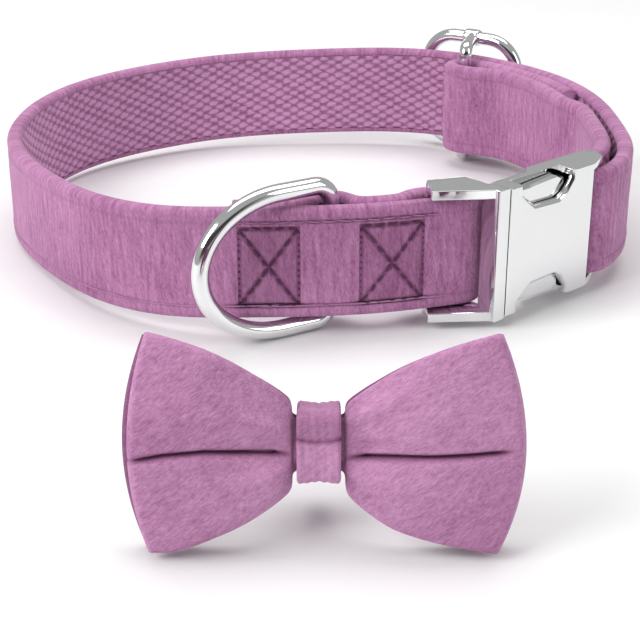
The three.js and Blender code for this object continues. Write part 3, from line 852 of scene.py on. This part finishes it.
def sliderPiece():
    size = sliderSize
    rise = strap["height"] / 2 + size["play"] + size["wire"]
    half = size["width"] / 2 - size["wire"]
    spots = evenly(roundedBox(half, rise, size["corner"], 14), 180)
    points = np.stack([spots[:, 0], np.zeros(len(spots)), spots[:, 1]], 1)
    inset = -thick / 2 - strap["clearance"] - size["wire"]
    line = placed(points, turns["sliderRing"], inset, size["rise"], 0)
    normal = placed(np.array([[0, 1.0, 0], [0, 0, 0]]), turns["sliderRing"], 0, 0, 0)
    made = [loft("sliderFrame", tube(line, size["wire"] * mm, 24, True, normal[0] - normal[1]), closed=True)]
    bar = np.array(loopPoint(turns["sliderBar"], sliderInset)[0]) + np.array([0, 0, size["rise"]])
    bend = size["bend"]
    grips = [placed(np.array([[0, 0, side * rise]]), turns["sliderRing"], inset, size["rise"], 0)[0] / mm
             for side in (1, -1)]
    corners = [bar + np.array([0, 0, side * rise]) for side in (1, -1)]
    path = [grips[0]]
    turning = ((corners[0], grips[0], corners[1]), (corners[1], corners[0], grips[1]))
    for corner, before, after in turning:
        a = (before - corner) / np.linalg.norm(before - corner)
        b = (after - corner) / np.linalg.norm(after - corner)
        centre = corner + (a + b) * bend
        for k in range(9):
            t = pi / 2 * k / 8
            path.append(centre - b * bend * cos(t) - a * bend * sin(t))
    path.append(grips[1])
    path = np.array(path)
    gaps = np.linalg.norm(np.diff(path, axis=0), axis=1)
    length = np.concatenate([[0], np.cumsum(gaps)])
    at = np.linspace(0, length[-1], 120)
    path = np.stack([np.interp(at, length, path[:, k]) for k in range(3)], 1)
    heading = loopPoint(turns["sliderRing"])[1]
    made.append(loft("sliderBar", tube(path * mm, size["wire"] * mm, 20, False, tuple(heading))))
    for side in (1, -1):
        spots, radii = [], []
        reach = size["sleeveLength"] / 2
        for k in range(25):
            t = -1 + 2 * k / 24
            spots.append([t * reach, 0, side * rise])
            radii.append(size["wire"] + size["sleeve"] * (1 - abs(t) ** 8))
        spots = placed(np.array(spots), turns["sliderRing"], inset, size["rise"], 0)
        sleeve = tube(spots, np.array(radii) * mm, 28, False, (0, 0, 1))
        made.append(loft("sliderSleeve" + ("Top" if side > 0 else "Low"), sleeve))
    return joined("sliderMetal", made)


print("metal")
ring = leashRing()
ring.data.materials.append(chrome)
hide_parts("leash_ring")
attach(ring, "ring")
sliderMetal = sliderPiece()
sliderMetal.data.materials.clear()
sliderMetal.data.materials.append(chrome)
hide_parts("slider")
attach(sliderMetal, "collar")
buckleSize = {
    "round": 0.25,
    "roundSteps": 3,
    "corner": 24.0,      # sharper edges than this are rounded
    "merge": 0.01,
    "rim": 0.7,          # the raised rim on the rails and ears
    "rimDepth": 0.3,
    "notchRim": 0.65,
    "origin": (40.2813, -64.1473),   # the plate's left front corner, from the loop's middle
    "heading": (0.7602, 0.6497),
    "notchFrom": 5.0,
    "notchTo": 26.0,
    "endArea": 25.0,     # square millimetres: only the large end faces get a rim
}


def polishedCopy(name, node):
    size = buckleSize
    bm = bmesh.new()
    bm.from_mesh(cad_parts[node].data)
    bmesh.ops.remove_doubles(bm, verts=bm.verts, dist=size["merge"] * mm)
    bmesh.ops.dissolve_limit(bm, angle_limit=radians(2), verts=bm.verts, edges=bm.edges)
    top, low = max(v.co.z for v in bm.verts), min(v.co.z for v in bm.verts)

    def atEnd(face):
        z = face.calc_center_median().z
        return abs(face.normal.z) > 0.99 and min(abs(z - top), abs(z - low)) < 0.1 * mm

    ends = [f for f in bm.faces if atEnd(f) and f.calc_area() > size["endArea"] * mm * mm]
    for face in ends:
        bmesh.ops.inset_region(bm, faces=[face], thickness=size["rim"] * mm, depth=-size["rimDepth"] * mm)
    along = Vector((*size["heading"], 0))
    inward = Vector((-size["heading"][1], size["heading"][0], 0))
    corner = (Vector((*strap["centre"], 0)) + Vector((*size["origin"], 0))) * mm
    limit = (top - low) / 2 - 0.3 * mm
    middle = (top + low) / 2

    def onNotch(vert):
        spot = vert.co - corner
        onFace = abs(spot.dot(inward)) < 0.02 * mm
        return onFace and size["notchFrom"] * mm < spot.dot(along) < size["notchTo"] * mm

    def sharp(edge):
        return edge.is_manifold and edge.calc_face_angle_signed() > radians(size["corner"])

    rims = [e for e in bm.edges if sharp(e) and onNotch(e.verts[0]) and onNotch(e.verts[1])
            and min(abs(v.co.z - middle) for v in e.verts) < limit]
    rounding = {"affect": "EDGES", "profile": 0.5, "material": -1, "clamp_overlap": True}
    if rims:
        bmesh.ops.bevel(bm, geom=rims, offset=size["notchRim"] * mm, segments=1, **rounding)
    edges = [e for e in bm.edges if sharp(e)]
    bmesh.ops.bevel(bm, geom=edges, offset=size["round"] * mm, segments=size["roundSteps"], **rounding)
    obj = finished(name, bm)
    obj.data.materials.append(chrome)
    normals = obj.modifiers.new("flatFaces", "WEIGHTED_NORMAL")
    normals.weight = 80
    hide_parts(node)
    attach(obj, "collar")


for name, node in (("buckleMale", "buckle_male"), ("buckleFemale", "buckle_female")):
    polishedCopy(name, node)


bow = {
    "width": 67.0,
    "height": 35.6,
    "thick": 3.2,
    "puff": 3.6,
    "crease": 1.8,
    "tipRound": 0.12,
    "edgeThin": 0.6,
    "clearance": 0.3,
    "puffFall": 0.25,
    "foldDepth": 1.3,
    "foldWidth": 0.42,
    "lap": 0.35,
    "gather": 0.55,
    "fineGather": 0.26,
    "swell": 0.42,
    # shares of the half width, and the fold's height there
    "leftFold": ((0.1, 0.3, 0.55, 0.75, 0.9), (-1.3, -0.8, -0.4, -0.9, -1.8)),
    "rightFold": ((0.1, 0.3, 0.55, 0.75, 0.95), (-1.7, -1.5, -1.1, -0.7, -0.2)),
    "knotWall": 1.6,
    "knotWidth": 7.2,
    "knotHeight": 12.8,
    "knotWaist": 0.5,
    "knotCorner": 1.8,
    "knotTuck": 1.0,
    "elasticWall": 1.2,
    "elasticWidth": 6.0,
    "elasticHeight": 9.6,
    "elasticCorner": 2.0,
    "elasticDrop": 3.0,
    "strapPass": 6.2,
    "lean": 15.0,
}
# each row: out, top, bottom, puff, crease, ply
leftWing = [
    (0.15, 0.44, 0.45, 0.25, 1.0, 1), (0.335, 0.7, 0.69, 0.75, 0.9, 1), (0.53, 0.89, 0.845, 1.0, 0.6, 1),
    (0.72, 1.0, 0.96, 0.95, 0.3, 1), (0.88, 1.06, 0.99, 0.8, 0.1, 1), (0.925, 1.065, 0.99, 0.72, 0, 0.6),
]
rightWing = [
    (0.15, 0.41, 0.48, 0.25, 1.0, 1), (0.33, 0.66, 0.73, 0.75, 0.9, 1), (0.5, 0.825, 0.845, 1.0, 0.6, 1),
    (0.7, 0.95, 0.93, 0.95, 0.3, 1), (0.94, 1.045, 0.995, 0.8, 0.1, 1), (1.0, 1.045, 0.985, 0.72, 0, 0.6),
]
frontCloth = {"centre": -1, "left": 0.0, "right": 0.0, "sink": 0.0, "puff": 1.0, "crease": 1}
backCloth = {"centre": 1, "left": 1.4, "right": 0.2, "sink": 1.0, "puff": 0.85, "crease": 0}


def wingRows(wing, reach):
    half, rise = bow["width"] / 2, bow["height"] / 2
    pinch = (bow["knotHeight"] / 2 - bow["knotWall"] - bow["clearance"]) / rise
    waist = ((bow["knotWidth"] / 2 + bow["clearance"]) / half, pinch, pinch, 0, 0, 1)
    return [(reach * row[0], *row[1:]) for row in [waist, *wing]]


def smoothRows(rows, at):
    rows = np.array(rows, float)
    index = np.clip(np.floor(at).astype(int), 0, len(rows) - 2)
    t = (at - index)[:, None]
    p1, p2 = rows[index], rows[index + 1]
    p0 = np.where((index > 0)[:, None], rows[np.maximum(index - 1, 0)], 2 * p1 - p2)
    p3 = np.where((index < len(rows) - 2)[:, None], rows[np.minimum(index + 2, len(rows) - 1)], 2 * p2 - p1)
    m1, m2 = (p2 - p0) / 2, (p3 - p1) / 2
    h00, h10 = 2 * t ** 3 - 3 * t ** 2 + 1, t ** 3 - 2 * t ** 2 + t
    h01, h11 = -2 * t ** 3 + 3 * t ** 2, t ** 3 - t ** 2
    return h00 * p1 + h10 * m1 + h01 * p2 + h11 * m2


def bowMatrix():
    low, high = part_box("bow_knot")
    middle = (low + high) / 2
    return Matrix.Translation(middle) @ Matrix.Rotation(radians(-bow["lean"]), 4, "X")


def bowLayer(name, cloth):
    half, rise = bow["width"] / 2, bow["height"] / 2
    middle = cloth["centre"] * (bow["thick"] / 2 + bow["clearance"])
    left = wingRows(leftWing, -half - cloth["left"])
    right = wingRows(rightWing, half + cloth["right"])
    rows = left[::-1] + [(0, *left[0][1:])] + right
    values = smoothRows(rows, np.linspace(0, len(rows) - 1, 190))
    even = np.linspace(-1, 1, 96)
    shares = 0.5 * even + 0.5 * even ** 3   # closer together near the fold
    turned = [(sin(pi / 2 * k / 6), cos(pi / 2 * k / 6)) for k in range(1, 7)]
    sections, paintedShades = [], []
    for x, top, bottom, puff, crease, ply in values:
        puff, crease = max(0.0, puff) * cloth["puff"], max(0.0, crease) * cloth["crease"]
        ply = min(1.0, ply)
        fromTip = min(abs(x - values[0][0]), abs(values[-1][0] - x))
        ply *= max(0.08, sqrt(max(0.0, 1 - max(0.0, 1 - fromTip / 1.3) ** 2)))
        upper, lower = top * (rise - cloth["sink"]), bottom * rise
        edge = min(0.3, 1.1 / upper)
        outline = [(a * (1 - edge), 1.0) for a in shares]
        outline += [(1 - edge + edge * a, b) for a, b in turned]
        front = [(-1 + edge - edge * a, b) for a, b in turned[::-1]] + outline
        back = [(a, -b) for a, b in front[1:-1][::-1]]
        reach = abs(x) / half
        clear = min(1.0, max(0.0, (abs(x) - bow["knotWidth"] / 2) / 4.0))
        run = clear * (1 - smoothstep(reach, 0.84, 0.97))   # the fold fades before the tip
        line = float(np.interp(reach, *(bow["rightFold"] if x > 0 else bow["leftFold"])))
        section, deep = [], []
        for share, depth in front + back:
            span = upper if share > 0 else lower
            height = share * span
            squeeze = 1 - bow["tipRound"] * share ** 2 * (x / half) ** 2
            wall = bow["thick"] / 2 * ply * (1 - (1 - bow["edgeThin"]) * abs(share) ** 3) * depth
            bulge = -bow["puff"] * puff * (1 - bow["puffFall"] * share ** 2)
            inFold = 0.0
            if depth > 0:
                fan = height / (abs(x) + 4.0)
                gathers = bow["gather"] * sin(fan * 8.0 + (1 if x > 0 else 2.2))
                gathers += bow["fineGather"] * sin(fan * 19.0 + x * 0.12)
                gathers *= exp(-((abs(x) - 7) / 8.0) ** 2)
                swell = bow["swell"] * sin(x / 6.1 + 1.3) * sin(height / 5.2 + x / 17.0) * (1 - reach ** 4)
                wall -= clear * depth * (gathers + swell)
                if cloth["crease"]:
                    away = height - line
                    inFold = run * exp(-(away / bow["foldWidth"]) ** 2)
                    wide = crease * bow["crease"] * max(0.0, 1 - abs(away / span) * 3) ** 1.4
                    lip = bow["lap"] * run * exp(-((away + 1.6) / 1.1) ** 2)   # the lower half laps over
                    wall -= (wide + bow["foldDepth"] * inFold) * clear - lip
            section.append((x * squeeze, middle + bulge - wall, height))
            # painted shade in the crease and where the cloth gathers into the knot
            shadeByKnot = exp(-((abs(x) - bow["knotWidth"] / 2) / 2.6) ** 2)
            deep.append(min(1.0, 0.9 * inFold + 0.36 * shadeByKnot))
        sections.append(section)
        paintedShades.append(deep)
    obj = loft(name, np.array(sections) * mm, paintedShades=paintedShades)
    obj.data.transform(bowMatrix())
    return obj


def band(name, centre, drop, depth, rise, wall, width, corner, waist, tuck=None, columns=20):
    spots = evenly(roundedBox(depth, rise, corner, 8), 130)
    along = np.roll(spots, -1, 0) - np.roll(spots, 1, 0)
    along /= np.linalg.norm(along, axis=1)[:, None]
    out = np.stack([along[:, 1], -along[:, 0]], 1)
    edge = wall * 0.42
    flat = np.linspace(-1, 1, columns) * (width / 2 - edge)
    turned = np.linspace(0.3, pi - 0.3, 7)
    rows = [(x, wall / 2) for x in flat]
    rows += [(width / 2 - edge + edge * sin(a), wall / 2 * cos(a)) for a in turned]
    rows += [(x, -wall / 2) for x in flat[::-1]]
    rows += [(edge - width / 2 - edge * sin(a), -wall / 2 * cos(a)) for a in turned]
    sections, paintedShades = [], []
    for i, spot in enumerate(spots):
        section, deep = [], []
        for x, offset in rows:
            share = abs(x) / (width / 2)
            inTuck = 0.0
            trim = 0.0
            if offset > 0 and waist:
                inFront = max(0.0, -out[i, 0])
                pleats = 0.1 * abs(sin(x * 2.1 + spot[1] * 0.35)) + 0.06 * sin(x * 5.0 + 1)
                trim = waist * (1 - share) * 0.9 + pleats
                if tuck is not None:
                    inTuck = exp(-((spot[1] - tuck - 0.05 * x * x) / 0.4) ** 2) * inFront
                    trim += 0.4 * inTuck
            reach = offset - trim
            section.append((x, centre + spot[0] + out[i, 0] * reach, spot[1] - drop + out[i, 1] * reach))
            if tuck is None:
                deep.append(0.0)
                continue
            upper = smoothstep(spot[1], tuck - 0.6, tuck + 0.8)   # painted shade: the half above the tuck is darker
            # painted shade also in the tuck and towards the band's sides
            deep.append(min(1.0, 0.45 * inTuck + 0.34 * upper + 0.12 * share ** 4))
        sections.append(section)
        paintedShades.append(deep)
    obj = loft(name, np.array(sections) * mm, closed=True, paintedShades=paintedShades)
    obj.data.transform(bowMatrix())
    return obj


print("bow tie")
bowPile = (0, radians(-38), 0)
frontVelvet = velvetLook("bowVelvet", velvetTones["bow"], turn=bowPile, ribs=0.1, foldShade=True)
# painted shade: the back layer's velvet is a darker copy of the front's
shadedBackVelvet = velvetLook("shadedBackVelvet", velvetTones["bowBack"], turn=bowPile, ribs=0.1, foldShade=True)
stack = bow["thick"] + 2 * bow["clearance"]
frontLayer = bowLayer("bowFront", frontCloth)
backLayer = bowLayer("bowBack", backCloth)
knotRise = (bow["knotHeight"] - bow["knotWall"]) / 2
knot = band("bowKnot", 0, 0, stack + bow["knotWall"] / 2, knotRise, bow["knotWall"], bow["knotWidth"],
            bow["knotCorner"], bow["knotWaist"], tuck=bow["knotTuck"])
elasticDepth = (bow["strapPass"] + bow["elasticWall"]) / 2
elasticCentre = stack + bow["knotWall"] + bow["clearance"] + bow["elasticWall"] / 2 + elasticDepth
elastic = band("elasticLoop", elasticCentre, bow["elasticDrop"], elasticDepth, bow["elasticHeight"] / 2,
               bow["elasticWall"], bow["elasticWidth"], bow["elasticCorner"], 0)
dressed = (
    (frontLayer, "bow_front", frontVelvet),
    (backLayer, "bow_back", shadedBackVelvet),
    (knot, "bow_knot", frontVelvet),
)
for obj, node, velvetKind in dressed:
    obj.data.materials.append(velvetKind)
    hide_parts(node)
    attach(obj, "collar")


def elasticLook():
    look = Look("elasticKnit")
    x = look.parts(look.coords())[0]
    ribs = (x * 2 * pi / (0.9 * mm)).sine() * 0.5 + 0.5
    knit = look.noise(look.coords(), 1500.0, 2.0)
    look.set(Base_Color=look.mix((ribs * 0.6 + knit * 0.4).held(), srgb(92, 50, 84), srgb(150, 96, 138)),
             Roughness=0.75, Sheen_Weight=0.2)
    look.bump(ribs * 0.7 + knit * 0.3, 0.6, 0.00015)
    return look.material


elastic.data.materials.append(elasticLook())
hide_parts("elastic_loop")
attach(elastic, "collar")


def floorLook():
    look = Look("paleFloor")
    grain = look.noise(look.coords(), 40.0, 2.0)
    look.set(Base_Color=look.mix(grain, (0.86, 0.86, 0.86, 1), (0.89, 0.89, 0.89, 1)), Roughness=0.5,
             Specular_IOR_Level=0.2)
    return look.material


print("studio")
studio = {
    "floor": 3.0,
    "lights": {   # place, width and height, power
        "keyLight": ((-0.7, -0.4, 0.6), (0.6, 0.5), 6.6),
        "fillLight": ((0.7, -0.35, 0.45), (0.35, 0.5), 1.6),
        "topLight": ((0.0, 0.25, 0.8), (0.9, 0.5), 4.2),
    },
    "world": 0.46,
    "dark": 0.12,
    "lens": 84.375,
    "sensor": 36,
    "eye": (2.5, -361.0),   # from the loop's middle, in millimetres
    "eyeHeight": 137.3,
    "tilt": 65.6,
}
bm = bmesh.new()
bmesh.ops.create_grid(bm, x_segments=1, y_segments=1, size=studio["floor"])
floorSheet = finished("floor", bm)
floorSheet.data.materials.append(floorLook())


def light(name, place, size, power):
    data = bpy.data.lights.new(name, "AREA")
    data.shape = "RECTANGLE"
    data.size, data.size_y = size
    data.energy = power
    obj = bpy.data.objects.new(name, data)
    obj.location = place
    obj.rotation_euler = (-Vector(place)).to_track_quat("-Z", "Y").to_euler()
    bpy.context.scene.collection.objects.link(obj)


for name, values in studio["lights"].items():
    light(name, *values)
world = bpy.data.worlds.new("studioWorld")
world.use_nodes = True
bpy.context.scene.world = world


def studioSky(tree):
    sky = Nodes(tree)
    side, deep, rise = sky.parts(sky.node("ShaderNodeTexCoord").outputs["Generated"])
    screen = deep.fade(-0.35, -0.6) * rise.fade(0.02, 0.16)   # a dark screen in front
    screen = screen * (1 - rise.fade(0.5, 0.62)) * (1 - side.abs().fade(0.5, 0.8))
    glow = 1.0 - screen * (1 - studio["dark"])
    mixed = sky.node("ShaderNodeCombineColor", Red=glow, Green=glow, Blue=glow)
    background = tree.nodes["Background"]
    sky.put(background.inputs["Strength"], studio["world"])
    sky.put(background.inputs["Color"], mixed.outputs["Color"])


studioSky(world.node_tree)

camera = bpy.data.cameras.new("camera")
camera.lens = studio["lens"]
camera.sensor_width = studio["sensor"]
eye = bpy.data.objects.new("camera", camera)
eye.location = (Vector((*strap["centre"], 0)) + Vector((*studio["eye"], studio["eyeHeight"]))) * mm
eye.rotation_euler = (radians(studio["tilt"]), 0, 0)
bpy.context.scene.collection.objects.link(eye)
bpy.context.scene.camera = eye
bpy.context.scene.view_settings.view_transform = "Standard"
